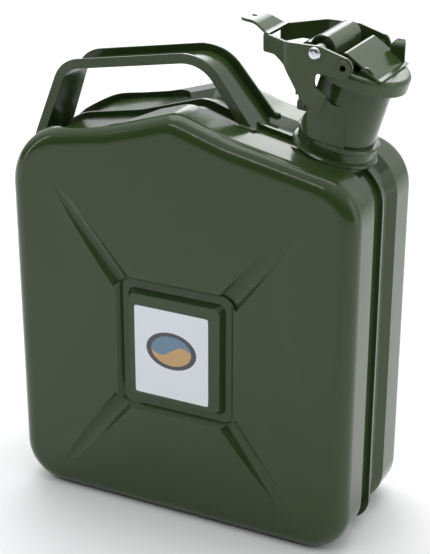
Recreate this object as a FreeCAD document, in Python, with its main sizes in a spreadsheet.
import FreeCAD, Part
import math
import os
import Sketcher

# Five-litre pressed-steel jerry can with a hinged lever closure. Millimetres.
# Origin at the bottom centre, +Z up, +X towards the spout, -Y the labelled face.

doc = FreeCAD.newDocument("JerryCan")
Vec = FreeCAD.Vector

# ---------------------------------------------------------------- driving dimensions
sheet = doc.addObject("Spreadsheet::Sheet", "sizes")
sizes = {
    # body
    "canWidth": 240.0, "canDepth": 102.0, "wall": 0.9, "bottomCorner": 28.0,
    "leftCorner": 42.0, "rightCorner": 31.0,
    "leftTop": 253.0, "kneeX": 48.0, "kneeTop": 265.5, "humpX": 2.0, "humpTop": 279.5,
    "slopeX": 34.0, "slopeTop": 268.0, "rightTop": 250.0, "panelRound": 11.0,
    "grooveHalf": 20.0, "grooveDeep": 4.5, "grooveRun": 7.0,
    "flangeThick": 1.2, "flangeIn": 1.6, "flangeFloor": 0.0, "flangeCorner": 17.0,
    # pressed front and back panels
    "padMidZ": 122.0, "padWide": 65.0, "padTall": 73.0, "ringWide": 84.0, "ringTall": 94.0,
    "pressDeep": 4.2, "channelRadius": 8.5, "channelTipX": 85.0, "channelTipZ": 101.0,
    "labelWide": 53.0, "labelTall": 62.0, "labelThick": 0.2, "labelX": -1.9, "labelZ": 119.8,
    # handle
    "handleWeb": 1.6, "handleFlange": 6.2, "handleHalf": 15.5, "footHalf": 18.0, "weldRadius": 1.6,
    # neck and lid, along the neck axis
    "neckX": 86.6, "neckZ": 262.0, "neckTilt": 16.4, "neckRadius": 22.0, "neckWall": 1.2,
    "neckMouth": 50.7, "neckRoot": -14.0, "rimBead": 1.5, "collarRadius": 24.6, "collarTop": 6.5,
    "capRadius": 29.9, "capTop": 54.2, "capBottom": 45.1, "capWall": 1.0,
    "gasketThick": 2.2, "gasketOut": 26.0, "gasketIn": 18.0, "keeperRadius": 19.0, "keeperThick": 1.0,
    "rivetRadius": 3.0,
    # hinge between neck and lid
    "hingeX": 66.4, "hingeZ": 285.2, "hingePin": 1.8, "curlHalf": 6.2, "lugThick": 1.6,
    "lugGap": 0.4, "strapHalf": 11.0, "strapThick": 1.4, "bracketThick": 1.5,
    # lever
    "pivotX": 101.5, "pivotZ": 317.2, "pivotRadius": 2.9, "pivotBore": 1.9, "saddleHalf": 23.0,
    "saddleThick": 1.3, "saddleToe": 118.8, "cheekIn": 30.4, "cheekThick": 1.8, "tabHalf": 10.0,
    "tabHole": 1.8, "rootHalf": 11.2, "latchX": 83.7, "latchZ": 323.9, "latchPin": 2.2,
    "hoodRadius": 8.0, "hoodHalf": 20.5, "pivotSpan": 65.0, "hingeSpan": 16.4, "latchSpan": 64.4,
    "springWire": 0.55, "washerThick": 0.9, "fit": 0.08,
}
for row, (alias, value) in enumerate(sizes.items(), start=1):
    sheet.set("A%d" % row, alias)
    sheet.set("B%d" % row, repr(value))
    sheet.setAlias("B%d" % row, alias)
doc.recompute()


def size(alias):
    """The present value of a driving dimension."""
    return float(sheet.get(alias))


# ---------------------------------------------------------------- outline helpers
def roundedCorners(points, closed):
    """Edges through (x, z, radius) corners in the XZ plane, each corner rounded by a tangent arc."""
    count = len(points)
    corners = []
    for i, (x, z, radius) in enumerate(points):
        here = Vec(x, 0, z)
        if radius <= 0 or (not closed and i in (0, count - 1)):
            corners.append((here, None, here))
            continue
        before = Vec(points[i - 1][0], 0, points[i - 1][1]) - here
        after = Vec(points[(i + 1) % count][0], 0, points[(i + 1) % count][1]) - here
        before.normalize()
        after.normalize()
        half = before.getAngle(after) / 2.0
        run = radius / math.tan(half)
        middle = before + after
        middle.normalize()
        crown = here + middle * (radius / math.sin(half) - radius)
        corners.append((here + before * run, crown, here + after * run))
    edges = []
    for i, (start, crown, end) in enumerate(corners):
        if crown is not None:
            edges.append(Part.Arc(start, crown, end).toShape())
        if closed or i < count - 1:
            following = corners[(i + 1) % count][0]
            if (following - end).Length > 1e-6:
                edges.append(Part.LineSegment(end, following).toShape())
    return edges


def loop(points):
    """A closed outline in the XZ plane."""
    return Part.Wire(roundedCorners(points, True))


def path(points):
    """An open line in the XZ plane."""
    return Part.Wire(roundedCorners(points, False))


def slab(wire, fromY, toY):
    """The face inside a closed XZ outline, run from one Y to another."""
    face = Part.Face(wire.translated(Vec(0, fromY, 0)))
    return face.extrude(Vec(0, toY - fromY, 0))


def bentStrip(points, thick, fromY, toY):
    """Bent sheet: an XZ path thickened to its left, run along Y.

    The far side is the same path with every corner moved by the thickness along its bisector.
    """
    far = []
    count = len(points)
    for i, (x, z, radius) in enumerate(points):
        sides = []
        if i > 0:
            sides.append(Vec(x - points[i - 1][0], 0, z - points[i - 1][1]))
        if i < count - 1:
            sides.append(Vec(points[i + 1][0] - x, 0, points[i + 1][1] - z))
        normals = [Vec(-side.z, 0, side.x) for side in sides]
        for normal in normals:
            normal.normalize()
        bisector = normals[0] + normals[-1]
        bisector.normalize()
        reach = thick / bisector.dot(normals[0])
        turn = 0.0
        if len(sides) == 2:
            turn = sides[0].z * sides[1].x - sides[0].x * sides[1].z
        farRadius = 0.0
        if radius > 0:
            farRadius = radius + (thick if turn > 0 else -thick)
        far.append((x + bisector.x * reach, z + bisector.z * reach, farRadius))
    nearWire = path(points)
    farWire = path(far)
    start = Part.LineSegment(Vec(points[0][0], 0, points[0][1]), Vec(far[0][0], 0, far[0][1])).toShape()
    end = Part.LineSegment(Vec(points[-1][0], 0, points[-1][1]), Vec(far[-1][0], 0, far[-1][1])).toShape()
    outline = Part.Wire(Part.__sortEdges__(nearWire.Edges + farWire.Edges + [start, end]))
    return slab(outline, fromY, toY)


def rod(x, z, radius, fromY, toY):
    """A round bar along Y."""
    return Part.makeCylinder(radius, toY - fromY, Vec(x, fromY, z), Vec(0, 1, 0))


def addFeature(name, shape):
    """A sub-part whose shape is worked out here from the sheet."""
    item = doc.addObject("Part::Feature", name)
    item.Label = name
    item.Shape = shape.removeSplitter()
    item.Placement = FreeCAD.Placement(Vec(0, 0, 0), FreeCAD.Rotation())
    return item


# ---------------------------------------------------------------- pressed body shells
halfWidth = size("canWidth") / 2
halfDepth = size("canDepth") / 2
skin = size("wall")


def canOutline(inset):
    """The can's outline seen from the front, moved inwards by an inset."""
    outer = loop([
        (-halfWidth, 0, size("bottomCorner")),
        (halfWidth, 0, size("bottomCorner")),
        (halfWidth, size("rightTop"), size("rightCorner")),
        (size("slopeX"), size("slopeTop"), 60),
        (-size("humpX"), size("humpTop"), 20),
        (-size("kneeX"), size("kneeTop"), 60),
        (-halfWidth, size("leftTop"), size("leftCorner")),
    ])
    if inset == 0:
        return outer
    return outer.makeOffset2D(-inset)


def edgesAlongOutline(solid, atY):
    """The edges of a solid that lie in the plane Y = atY."""
    found = []
    for edge in solid.Edges:
        box = edge.BoundBox
        if abs(box.YMin - atY) < 1e-4 and abs(box.YMax - atY) < 1e-4:
            found.append(edge)
    return found


def drum(inset, grooveEdge):
    """Half the can: panel with a round edge, side wall, sloped step down to the groove floor."""
    front = -halfDepth + inset
    floorEdge = grooveEdge + size("grooveRun")
    block = slab(canOutline(inset), front, grooveEdge)
    block = block.makeFillet(size("panelRound") - inset, edgesAlongOutline(block, front))
    high = canOutline(inset).translated(Vec(0, grooveEdge, 0))
    low = canOutline(inset + size("grooveDeep")).translated(Vec(0, floorEdge, 0))
    step = Part.makeLoft([high, low], True, True)
    floor = slab(canOutline(inset + size("grooveDeep")), floorEdge, 0)
    return block.fuse([step, floor])


def landPrism(inset):
    """Plan of the finger recess under the handle, as an upright prism on the front half."""
    edge = [(-104, -14), (-98, -30), (-84, -42), (-64, -44.5), (-47, -42), (-36, -35),
            (-27, -25), (-20, -14)]
    points = [Vec(x, y - inset, 225) for x, y in edge]
    curve = Part.BSplineCurve()
    curve.interpolate(points)
    side = curve.toShape()
    closing = Part.makePolygon([points[-1], Vec(points[-1].x, 1, 225), Vec(points[0].x, 1, 225), points[0]])
    wire = Part.Wire([side] + closing.Edges)
    return Part.Face(wire).extrude(Vec(0, 0, 80))


def pressing(grow):
    """The ring and the four tapering channels pressed into the panel; grow adds the sheet on the back."""
    face = -halfDepth
    deep = size("pressDeep") + grow
    midZ = size("padMidZ")

    def plate(name, wider, radius, atY):
        x = (size(name + "Wide") + wider) / 2
        z = (size(name + "Tall") + wider) / 2
        low, high = midZ - z, midZ + z
        wire = loop([(-x, low, radius), (x, low, radius), (x, high, radius), (-x, high, radius)])
        return wire.translated(Vec(0, atY, 0))

    slope = size("pressDeep") * 0.75
    over = 1.0
    ring = Part.makeLoft([
        plate("ring", 2 * grow + 2 * over, 8 + grow, face - over),
        plate("ring", 2 * grow - 2 * slope, 5 + grow, face + deep),
    ], True, True)
    pad = Part.makeLoft([
        plate("pad", -2 * grow - 1.5 * over, 4, face - over),
        plate("pad", -2 * grow + 1.5 * slope, 5, face + deep),
    ], True, True)
    tools = [ring.cut(pad)]
    radius = size("channelRadius")
    innerX = (size("ringWide") + size("padWide")) / 4 + 1
    innerZ = (size("ringTall") + size("padTall")) / 4 + 1
    for sideX in (-1, 1):
        for sideZ in (-1, 1):
            start = Vec(sideX * innerX, face - radius + size("pressDeep"), midZ + sideZ * innerZ)
            tip = Vec(sideX * size("channelTipX"), face - radius, midZ + sideZ * size("channelTipZ"))
            along = tip - start
            tools.append(Part.makeCylinder(radius + grow, along.Length, start, along))
    return tools[0].fuse(tools[1:])


def halfCan(inset):
    """Solid of half the can: outside for no inset, inside for the sheet's thickness."""
    block = drum(inset, -size("grooveHalf"))
    top = slab(canOutline(inset + size("grooveDeep")), -halfDepth, 0)
    recess = landPrism(inset).cut(top)
    return block.cut(recess)


def neckAxisBar(radius, start, end):
    """A round bar along the neck's axis."""
    tilt = math.radians(size("neckTilt"))
    axis = Vec(math.sin(tilt), 0, math.cos(tilt))
    base = Vec(size("neckX"), 0, size("neckZ"))
    return Part.makeCylinder(radius, end - start, base + axis * start, axis)


def seamFlange():
    """The outward seam edge of one shell, wider at the bottom corners."""
    inset = size("flangeIn")
    low = size("flangeFloor")
    wire = loop([
        (-halfWidth + inset, low, size("flangeCorner")),
        (halfWidth - inset, low, size("flangeCorner")),
        (halfWidth - inset, size("rightTop") - inset, size("rightCorner") - inset),
        (size("slopeX"), size("slopeTop") - inset, 60),
        (-size("humpX"), size("humpTop") - inset, 20),
        (-size("kneeX"), size("kneeTop") - inset, 60),
        (-halfWidth + inset, size("leftTop") - inset, size("leftCorner") - inset),
    ])
    return slab(wire, -size("flangeThick"), 0)


def makeFrontShell():
    outside = halfCan(0).cut(pressing(0))
    inside = halfCan(skin).cut(pressing(skin))
    shell = outside.fuse(seamFlange()).cut(inside)
    return shell.cut(neckAxisBar(size("neckRadius"), -40, 40))


frontShell = addFeature("front_shell", makeFrontShell())
rearShell = doc.addObject("Part::Mirroring", "rear_shell")
rearShell.Label = "rear_shell"
rearShell.Source = frontShell
rearShell.Normal = Vec(0, 1, 0)


# ---------------------------------------------------------------- label and handle
label = doc.addObject("Part::Box", "front_label")
label.Label = "front_label"
label.setExpression("Length", "sizes.labelWide")
label.setExpression("Width", "sizes.labelThick")
label.setExpression("Height", "sizes.labelTall")
label.setExpression("Placement.Base.x", "sizes.labelX - sizes.labelWide / 2")
label.setExpression("Placement.Base.y", "-sizes.canDepth / 2 - sizes.labelThick")
label.setExpression("Placement.Base.z", "sizes.labelZ - sizes.labelTall / 2")


def handleLine():
    """Hand side of the handle: left leg, rising top bar, right leg."""
    return [(-120, 222, 0), (-95, 288.2, 15), (1.4, 304.3, 24), (38, 258, 0)]


def handleEnvelope(inset):
    """Space that the handle may fill across the can: narrow along the top, flared at both feet."""
    narrow = size("handleHalf") - inset
    wide = size("footHalf") - inset
    blocks = []
    for fromX, toX, flareTop, flareFoot in ((-140, -45, 285.0, 246.0), (-45, 60, 300.0, 268.0)):
        side = [Vec(fromX, -narrow, 330), Vec(fromX, narrow, 330), Vec(fromX, narrow, flareTop),
                Vec(fromX, wide, flareFoot), Vec(fromX, wide, 210), Vec(fromX, -wide, 210),
                Vec(fromX, -wide, flareFoot), Vec(fromX, -narrow, flareTop)]
        face = Part.Face(Part.makePolygon(side + [side[0]]))
        blocks.append(face.extrude(Vec(toX - fromX, 0, 0)))
    return blocks[0].fuse(blocks[1])


def seamBody():
    """The closed can with its seam, as one solid, for trimming what is welded on."""
    half = halfCan(0).fuse(seamFlange())
    return half.fuse(half.mirror(Vec(0, 0, 0), Vec(0, 1, 0)))


def makeHandle():
    """Channel-section strap: web towards the hand, flanges standing away from it."""
    flange = size("handleFlange")
    web = size("handleWeb")
    reach = size("footHalf") + 1
    whole = bentStrip(handleLine(), flange, -reach, reach).common(handleEnvelope(0))
    webLine = bentStrip(handleLine(), web, -reach, reach)
    hollow = bentStrip(handleLine(), flange, -reach, reach).cut(webLine).common(handleEnvelope(web))
    channel = whole.cut(hollow)
    reachBox = Part.makeBox(170, 60, 100, Vec(-halfWidth + 1.2, -30, 238))
    trimmed = channel.common(reachBox).cut(seamBody())
    return max(trimmed.Solids, key=lambda solid: solid.Volume)


carryHandle = addFeature("carry_handle", makeHandle())


def makeHandleWelds():
    """Fillet welds along the flanges where the legs land on the shells."""
    beads = []
    radius = size("weldRadius")
    for x, z, tilt in ((-113.0, 237.6, -52), (30.7, 268.6, 12)):
        for side in (-1, 1):
            bead = Part.makeCylinder(radius, 9, Vec(0, 0, 0), Vec(1, 0, 0))
            bead = bead.fuse([Part.makeSphere(radius), Part.makeSphere(radius, Vec(9, 0, 0))])
            bead.rotate(Vec(0, 0, 0), Vec(0, 1, 0), tilt)
            bead.translate(Vec(x, side * (size("footHalf") + 0.5), z))
            beads.append(bead.cut(seamBody()).cut(carryHandle.Shape))
    return Part.makeCompound(beads)


# ---------------------------------------------------------------- turned and pressed round parts
def turnedBody(name, profile, placement):
    """PartDesign body: closed (radius, height) profile turned about the body's Z axis.

    Each entry is a spreadsheet expression, and the corners are held by dimensions.
    """
    body = doc.addObject("PartDesign::Body", name)
    body.Label = name
    sketch = body.newObject("Sketcher::SketchObject", name + "_profile")
    plane = [item for item in body.Origin.OriginFeatures if item.Role == "XZ_Plane"][0]
    sketch.AttachmentSupport = [(plane, "")]
    sketch.MapMode = "FlatFace"
    corners = []
    for radius, height in profile:
        corners.append((sheetValue(radius), sheetValue(height)))
    count = len(corners)
    for i, (x, z) in enumerate(corners):
        following = corners[(i + 1) % count]
        sketch.addGeometry(Part.LineSegment(Vec(x, z, 0), Vec(following[0], following[1], 0)), False)
    for i in range(count):
        sketch.addConstraint(Sketcher.Constraint("Coincident", i, 2, (i + 1) % count, 1))
    for i, (radius, height) in enumerate(profile):
        hold(sketch, "DistanceX", i, corners[i][0], radius, -2)
        hold(sketch, "DistanceY", i, corners[i][1], height, -1)
    doc.recompute()
    turn = body.newObject("PartDesign::Revolution", name + "_turned")
    turn.Profile = sketch
    turn.ReferenceAxis = (sketch, ["V_Axis"])
    turn.Angle = 360.0
    body.Placement = placement
    doc.recompute()
    return body


def sheetValue(expression):
    """The number that a spreadsheet expression stands for."""
    words = expression.replace("-", " - ").replace("+", " + ").split()
    total = 0.0
    sign = 1.0
    for word in words:
        if word in "+-":
            sign = -1.0 if word == "-" else 1.0
            continue
        total += sign * (size(word) if word in sizes else float(word))
    return total


def hold(sketch, kind, line, value, expression, axis):
    """Dimension a line's start from the origin, or put it on the axis where the size is nothing."""
    if abs(value) < 1e-9:
        sketch.addConstraint(Sketcher.Constraint("PointOnObject", line, 1, axis))
        return
    number = sketch.addConstraint(Sketcher.Constraint(kind, -1, 1, line, 1, value))
    words = expression.replace("-", " - ").replace("+", " + ").split()
    bound = " ".join("sizes." + word if word in sizes else word for word in words)
    sketch.setExpression("Constraints[%d]" % number, bound)


neckPlace = FreeCAD.Placement(Vec(size("neckX"), 0, size("neckZ")),
                              FreeCAD.Rotation(Vec(0, 1, 0), size("neckTilt")))


def acrossPlace(x, y, z):
    """Placement that lays a turned part's axis along +Y, starting at the given point."""
    return FreeCAD.Placement(Vec(x, y, z), FreeCAD.Rotation(Vec(1, 0, 0), -90))


turnedBody("neck_tube", [
    ("neckRadius-neckWall", "neckRoot"),
    ("neckRadius", "neckRoot"),
    ("neckRadius", "neckMouth-3.2"),
    ("neckRadius+rimBead", "neckMouth-2.6"),
    ("neckRadius+rimBead+0.5", "neckMouth-1.5"),
    ("neckRadius+rimBead", "neckMouth-0.4"),
    ("neckRadius", "neckMouth"),
    ("neckRadius-neckWall+0.4", "neckMouth-0.3"),
    ("neckRadius-neckWall", "neckMouth-1.2"),
], neckPlace)

collarRing = turnedBody("collar_ring", [
    ("neckRadius", "0-5"),
    ("collarRadius+1.8", "0-5"),
    ("collarRadius+2.4", "0-3.8"),
    ("collarRadius+1.6", "0-2.6"),
    ("collarRadius", "0-2"),
    ("collarRadius", "collarTop-3.4"),
    ("collarRadius+0.9", "collarTop-2.6"),
    ("collarRadius+0.9", "collarTop-1"),
    ("collarRadius", "collarTop"),
    ("neckRadius", "collarTop"),
], neckPlace)

# The collar is trimmed to the sloping shoulder that it is welded to.
shoulder = addFeature("shoulder", seamBody())
collar = doc.addObject("Part::Cut", "neck_collar")
collar.Label = "neck_collar"
collar.Base = collarRing
collar.Tool = shoulder
doc.recompute()

turnedBody("cap_shell", [
    ("0", "capTop-capWall"),
    ("capRadius-capWall-1.4", "capTop-capWall"),
    ("capRadius-capWall-0.4", "capTop-capWall-0.5"),
    ("capRadius-capWall", "capTop-capWall-1.4"),
    ("capRadius-capWall", "capBottom"),
    ("capRadius", "capBottom"),
    ("capRadius", "capTop-2.4"),
    ("capRadius-0.3", "capTop-1.2"),
    ("capRadius-1.1", "capTop-0.4"),
    ("capRadius-2.3", "capTop"),
    ("0", "capTop"),
], neckPlace)

turnedBody("gasket", [
    ("gasketIn", "capTop-capWall-gasketThick"),
    ("gasketOut", "capTop-capWall-gasketThick"),
    ("gasketOut", "capTop-capWall"),
    ("gasketIn", "capTop-capWall"),
], neckPlace)

turnedBody("gasket_keeper", [
    ("rivetRadius", "capTop-capWall-gasketThick-keeperThick"),
    ("keeperRadius+0.4", "capTop-capWall-gasketThick-keeperThick"),
    ("keeperRadius+0.8", "capTop-capWall-gasketThick"),
    ("gasketIn", "capTop-capWall-gasketThick"),
    ("gasketIn-1", "capTop-capWall"),
    ("rivetRadius", "capTop-capWall"),
], neckPlace)

turnedBody("keeper_rivet", [
    ("0", "capTop-capWall-gasketThick-keeperThick-1.4"),
    ("rivetRadius+1", "capTop-capWall-gasketThick-keeperThick-1.2"),
    ("rivetRadius+2", "capTop-capWall-gasketThick-keeperThick"),
    ("rivetRadius", "capTop-capWall-gasketThick-keeperThick"),
    ("rivetRadius", "capTop-capWall"),
    ("0", "capTop-capWall"),
], neckPlace)

turnedBody("pivot_tube", [
    ("pivotBore", "0"),
    ("pivotRadius+1.5", "0"),
    ("pivotRadius+1.8", "0.5"),
    ("pivotRadius+0.6", "1"),
    ("pivotRadius", "1"),
    ("pivotRadius", "pivotSpan+1"),
    ("pivotRadius+0.6", "pivotSpan+1"),
    ("pivotRadius+1.8", "pivotSpan+1.5"),
    ("pivotRadius+1.5", "pivotSpan+2"),
    ("pivotBore", "pivotSpan+2"),
], acrossPlace(size("pivotX"), -size("pivotSpan") / 2 - 1, size("pivotZ")))

turnedBody("hinge_pin", [
    ("0", "0"),
    ("hingePin+0.9", "0"),
    ("hingePin+1.2", "0.6"),
    ("hingePin+0.9", "1.4"),
    ("hingePin", "1.4"),
    ("hingePin", "hingeSpan+1.8"),
    ("hingePin-0.5", "hingeSpan+2.3"),
    ("0", "hingeSpan+2.3"),
], acrossPlace(size("hingeX"), -size("hingeSpan") / 2 - 1.4, size("hingeZ")))

turnedBody("latch_pin", [
    ("0", "0"),
    ("latchPin-0.6", "0.1"),
    ("latchPin+0.9", "0.7"),
    ("latchPin+1.6", "1.6"),
    ("latchPin+1.4", "2.4"),
    ("latchPin", "2.4"),
    ("latchPin", "latchSpan+2.4"),
    ("latchPin+1.4", "latchSpan+2.4"),
    ("latchPin+1.6", "latchSpan+3.2"),
    ("latchPin+0.9", "latchSpan+4.1"),
    ("latchPin-0.6", "latchSpan+4.7"),
    ("0", "latchSpan+4.8"),
], acrossPlace(size("latchX"), -size("cheekIn") - size("cheekThick") - 2.4, size("latchZ")))


# ---------------------------------------------------------------- hinge bracket, strap and saddle
def planStrip(points, thick, lowZ, highZ):
    """Bent sheet standing upright: (x, y, radius) plan path thickened to its left."""
    strip = bentStrip(points, thick, -highZ, -lowZ)
    strip.rotate(Vec(0, 0, 0), Vec(1, 0, 0), -90)
    return strip


def crossStrip(points, thick, fromX, toX):
    """Bent sheet whose bends run along X: (y, z, radius) path thickened to its left."""
    strip = bentStrip(points, thick, -toX, -fromX)
    strip.rotate(Vec(0, 0, 0), Vec(0, 0, 1), 90)
    return strip


def makeBrackets():
    """Folded sheet wings on both sides of the neck, each with a peak that the lever's hook clears."""
    side = [(99, -20, 0), (85, -24, 3), (77, -24, 4), (71.5, -16.5, 3), (80, -10, 0)]
    strip = planStrip(side, size("bracketThick"), 255, 300)
    outline = loop([
        (66, 262, 0), (70, 279, 3), (77, 287, 3), (88.4, 295.8, 1.5),
        (92.5, 291.4, 4), (99.3, 290.8, 1), (101, 262, 0),
    ])
    wing = strip.common(slab(outline, -40, 40))
    wing = wing.cut(neckAxisBar(size("neckRadius"), -40, 60))
    wing = wing.cut(neckAxisBar(size("collarRadius") + 4, -40, size("collarTop")))
    wing = max(wing.Solids, key=lambda solid: solid.Volume)
    return Part.makeCompound([wing, wing.mirror(Vec(0, 0, 0), Vec(0, 1, 0))])


def makeLugs():
    """Two upright lugs on the neck that carry the hinge pin."""
    x, z = size("hingeX"), size("hingeZ")
    eye = size("hingePin") + 1.5
    outline = loop([
        (x - eye, z + eye, eye * 0.9), (x - eye, z - eye - 0.6, 1.5),
        (x + 14, z - eye - 2.4, 0), (x + 14, z + eye, 0),
    ])
    lugs = []
    for start in (-size("curlHalf") - size("lugGap") - size("lugThick"), size("curlHalf") + size("lugGap")):
        lug = slab(outline, start, start + size("lugThick"))
        lug = lug.cut(neckAxisBar(size("neckRadius"), -40, 60)).cut(rod(x, z, size("hingePin"), -40, 40))
        lugs.append(min(lug.Solids, key=lambda solid: solid.CenterOfMass.x))
    return Part.makeCompound(lugs)


addFeature("neck_brackets", makeBrackets())
addFeature("hinge_lugs", makeLugs())


def capPlaneZ(x):
    """Height of the cap's top over a place in X on the middle plane."""
    tilt = math.radians(size("neckTilt"))
    centreX = size("neckX") + size("capTop") * math.sin(tilt)
    centreZ = size("neckZ") + size("capTop") * math.cos(tilt)
    return centreZ - (x - centreX) * math.tan(tilt)


def makeStrap():
    """Lid strap: curled round the hinge pin, up the side, bent over and welded along the cap."""
    inner = size("hingePin") + size("fit")
    x, z = size("hingeX"), size("hingeZ")
    cornerX = x + 0.8
    points = [
        (x + inner, z + 2.5, 0), (x + inner, z - inner, inner), (x - inner, z - inner, inner),
        (x - inner, z + 14, 20), (cornerX, capPlaneZ(cornerX), 4), (95.0, capPlaneZ(95.0), 0),
    ]
    half = size("strapHalf")
    curl = size("curlHalf")
    strap = bentStrip(points, size("strapThick"), -half, half)
    wide = Part.makeBox(60, 2 * half, 60, Vec(x - 10, -half, z + 6))
    slim = Part.makeBox(60, 2 * curl, 60, Vec(x - 10, -curl, z - 20))
    strap = strap.common(wide.fuse(slim))
    return strap.cut(neckAxisBar(size("capRadius"), size("capBottom"), size("capTop")))


def makeSaddle():
    """Saddle plate: curled over the pivot tube, ramping down to the cap, with two turned-up ears."""
    inner = size("pivotRadius") + 0.05
    x, z = size("pivotX"), size("pivotZ")
    half = size("saddleHalf")
    thick = size("saddleThick")
    toeX = size("saddleToe")
    rear = x - inner - 1.6
    dx, dz = toeX - x, capPlaneZ(toeX) - z
    lean = math.atan2(-dz, dx) + math.asin(inner / math.hypot(dx, dz))
    crestZ = capPlaneZ(toeX) + (toeX - rear) * math.tan(lean)
    plate = bentStrip([
        (rear, capPlaneZ(rear) + 0.1, 0), (rear, crestZ, 1.6), (toeX, capPlaneZ(toeX), 2),
        (toeX + 2.6, capPlaneZ(toeX + 2.6), 0),
    ], thick, -half, half)
    earLine = [(half - 1, 306, 0), (half - 1, 319.6, 2), (half + 3.4, 322.4, 0)]
    rearEar = crossStrip(earLine, thick, 110.4, 119.6)
    rearShape = loop([(110.4, 300, 0), (110.4, 323, 4.4), (119.6, 323, 4.4), (119.6, 300, 0)])
    frontEar = crossStrip([(half - 1, 306, 0), (half - 1, 317.5, 0)], thick, 107.2, 117.4)
    frontShape = loop([
        (107.2, 300, 0), (107.2, 316.6, 4), (113.6, 315.8, 4), (117.4, 311.2, 1), (117.4, 300, 0),
    ])
    rearEar = rearEar.common(slab(rearShape, -60, 60))
    frontEar = frontEar.common(slab(frontShape, -60, 60)).mirror(Vec(0, 0, 0), Vec(0, 1, 0))
    saddle = plate.fuse([frontEar, rearEar])
    saddle = saddle.cut(neckAxisBar(size("capRadius") + 4, 20, size("capTop")))
    saddle = saddle.cut(rod(x, z, size("pivotRadius"), -40, 40))
    return max(saddle.Solids, key=lambda solid: solid.Volume)


addFeature("lid_strap", makeStrap())
addFeature("cap_saddle", makeSaddle())


# ---------------------------------------------------------------- lever
def makeYoke():
    """Lever yoke: two cheeks that close in towards a flat thumb tab with a pin hole."""
    inside = size("cheekIn")
    thick = size("cheekThick")
    x, z = size("pivotX"), size("pivotZ")
    narrow = size("rootHalf")
    plan = [(x + 9, -inside, 0), (66, -inside, 6), (43, -narrow, 0)]
    front = planStrip(plan, thick, 280, 340)
    outline = loop([
        (42.4, 327.0, 1.5), (66, 328.4, 10), (86.5, 328.1, 10), (105.0, 322.3, 4.5), (108.0, 316.0, 4.5),
        (102.8, 310.3, 4.5), (84.0, 312.2, 3), (83.4, 303.6, 5), (91.8, 299.8, 1.5), (87.0, 288.0, 2.5),
        (82.4, 289.2, 2), (74.6, 296.4, 12), (69, 306, 10), (63.4, 314.6, 6), (54, 317.6, 6),
        (42.6, 315.8, 1.5),
    ])
    cheeks = front.fuse(front.mirror(Vec(0, 0, 0), Vec(0, 1, 0))).common(slab(outline, -60, 60))
    half = size("tabHalf")
    outer = narrow + thick * 0.9
    tabPlan = loop([
        (25.2, -half, 3.5), (25.2, half, 3.5), (36, half + 0.6, 10), (43.0, outer, 2),
        (47.0, outer + 3.2, 0.5),
        (47.0, -outer - 3.2, 0.5), (43.0, -outer, 2), (36, -half - 0.6, 10),
    ])
    tabPlan.rotate(Vec(0, 0, 0), Vec(1, 0, 0), -90)
    column = Part.Face(tabPlan).extrude(Vec(0, 0, 400))
    plate = bentStrip([(22, 332.6, 0), (35, 331.2, 14), (44.5, 325.9, 8), (50, 325.9, 0)], thick, -30, 30)
    tab = plate.common(column)
    yoke = cheeks.fuse(tab)
    lean = math.atan2(1.4, 13.0)
    across = Vec(math.sin(lean), 0, math.cos(lean))
    hole = Part.makeCylinder(size("tabHole"), 12, Vec(30.4, 0, 331.7) - across * 5, across)
    yoke = yoke.cut(hole)
    yoke = yoke.cut(rod(x, z, size("pivotRadius") + size("fit"), -50, 50))
    return yoke.cut(rod(size("latchX"), size("latchZ"), size("latchPin"), -50, 50))


def makeHood():
    """Arched cover round the latch pin, carried on the pin by two webs."""
    x, z = size("latchX"), size("latchZ")
    half = size("hoodHalf")
    inner = size("hoodRadius") - 1.4
    crown = [(x - inner, z + inner, inner), (x + inner, z + inner, inner)]
    arch = [(x - inner, z - 0.1, 0)] + crown + [(x + inner, z - 4, 0)]
    hood = bentStrip(arch, 1.4, -half, half)
    foot = [(x + inner, z - 3, 0), (x + 3.5, z - 3.6, 2), (x - 3.0, z - 2.8, 2)]
    web = loop([(x - inner, z, 0)] + crown + foot)
    webs = [slab(web, side * (half - 2.4) - 0.6, side * (half - 2.4) + 0.6) for side in (-1, 1)]
    return hood.fuse(webs).cut(rod(x, z, size("latchPin"), -50, 50))


def makeSpring():
    """Two close-wound spring coils on the latch pin, each a sleeve with one round rib a turn."""
    wire = size("springWire")
    inner = size("latchPin") + 0.35
    turns = 6
    coils = []
    for start in (-size("cheekIn") + 1.6, size("hoodHalf") + 0.7):
        ribs = []
        for turn in range(turns):
            low = start + 2 * wire * turn
            rib = Part.Arc(Vec(inner + wire, low, 0), Vec(inner + 2 * wire, low + wire, 0),
                           Vec(inner + wire, low + 2 * wire, 0))
            ribs.append(rib.toShape())
        end = start + 2 * wire * turns
        back = Part.makePolygon([Vec(inner + wire, end, 0), Vec(inner, end, 0), Vec(inner, start, 0),
                                 Vec(inner + wire, start, 0)])
        profile = Part.Face(Part.Wire(ribs + back.Edges))
        coil = profile.revolve(Vec(0, 0, 0), Vec(0, 1, 0), 360)
        coil.translate(Vec(size("latchX"), 0, size("latchZ")))
        coils.append(coil)
    return Part.makeCompound(coils)


def makeWashers():
    """Plain washers on the latch pin against the insides of the cheeks."""
    rings = []
    thick = size("washerThick")
    for start in (-size("cheekIn"), size("cheekIn") - thick):
        disc = rod(size("latchX"), size("latchZ"), size("latchPin") + 2.0, start, start + thick)
        rings.append(disc.cut(rod(size("latchX"), size("latchZ"), size("latchPin"), -50, 50)))
    return Part.makeCompound(rings)


addFeature("lever_yoke", makeYoke())
addFeature("spring_hood", makeHood())
addFeature("lever_spring", makeSpring())
addFeature("latch_washers", makeWashers())
addFeature("handle_welds", makeHandleWelds())


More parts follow.
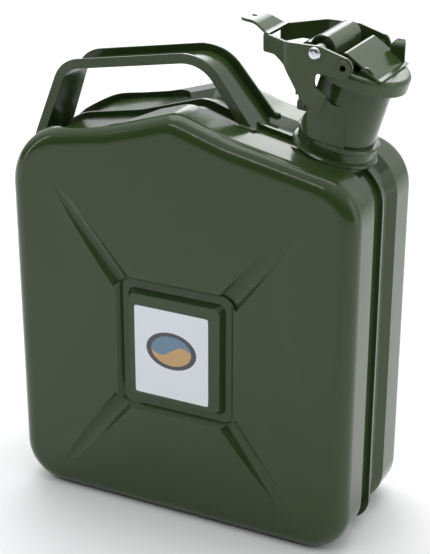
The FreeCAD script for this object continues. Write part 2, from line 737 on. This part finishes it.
# ---------------------------------------------------------------- breather inside the neck
def breatherWire():
    """Centre line of the breather: along the upper side of the neck, then turning down into the can."""
    tilt = math.radians(size("neckTilt"))
    axis = Vec(math.sin(tilt), 0, math.cos(tilt))
    across = Vec(-math.cos(tilt), 0, math.sin(tilt))
    base = Vec(size("neckX"), 0, size("neckZ")) + across * 16.0
    top = base + axis * 44.0
    low = base + axis * -18.0
    return [(top.x, top.z, 0), (low.x, low.z, 18), (low.x - 34, low.z - 16, 0)]


def makeBreather():
    wires = []
    for radius in (4.2, 3.4):
        spine = path(breatherWire())
        start = spine.Edges[0].Vertexes[0].Point
        tangent = spine.Edges[0].tangentAt(spine.Edges[0].FirstParameter)
        first = Part.Wire(Part.makeCircle(radius, start, tangent))
        wires.append(spine.makePipeShell([first], True, False))
    return wires[0].cut(wires[1])


def makeBreatherClip():
    """Small bent strap that holds the breather to the inside of the neck."""
    tilt = math.radians(size("neckTilt"))
    axis = Vec(math.sin(tilt), 0, math.cos(tilt))
    across = Vec(-math.cos(tilt), 0, math.sin(tilt))
    start = Vec(size("neckX"), 0, size("neckZ")) + axis * 34.0
    middle = start + across * 16.0
    ring = Part.makeCylinder(5.2, 6, middle, axis).cut(Part.makeCylinder(4.2, 6, middle, axis))
    inside = Part.makeCylinder(size("neckRadius") - size("neckWall"), 6, start, axis)
    return ring.common(inside)


addFeature("breather_tube", makeBreather())
addFeature("breather_clip", makeBreatherClip())

# ---------------------------------------------------------------- checks and files
doc.recompute()
nodes = []
solidTypes = ("Part::Feature", "Part::Mirroring", "Part::Box", "Part::Cut", "PartDesign::Body")
helpers = (collarRing, shoulder)
for item in doc.Objects:
    states = [state for state in item.State if "Invalid" in state or "Error" in state]
    if states:
        raise RuntimeError("%s failed: %s" % (item.Label, states))
    if item.TypeId in solidTypes and item not in helpers:
        nodes.append(item)
for item in nodes:
    if item.Shape.isNull() or not item.Shape.isValid():
        raise RuntimeError("%s has no valid shape" % item.Label)
os.makedirs("parts", exist_ok=True)
for item in nodes:
    item.Shape.exportStep("parts/%s.step" % item.Label)
    print("%-16s solids %d volume %9.1f" % (item.Label, len(item.Shape.Solids), item.Shape.Volume))
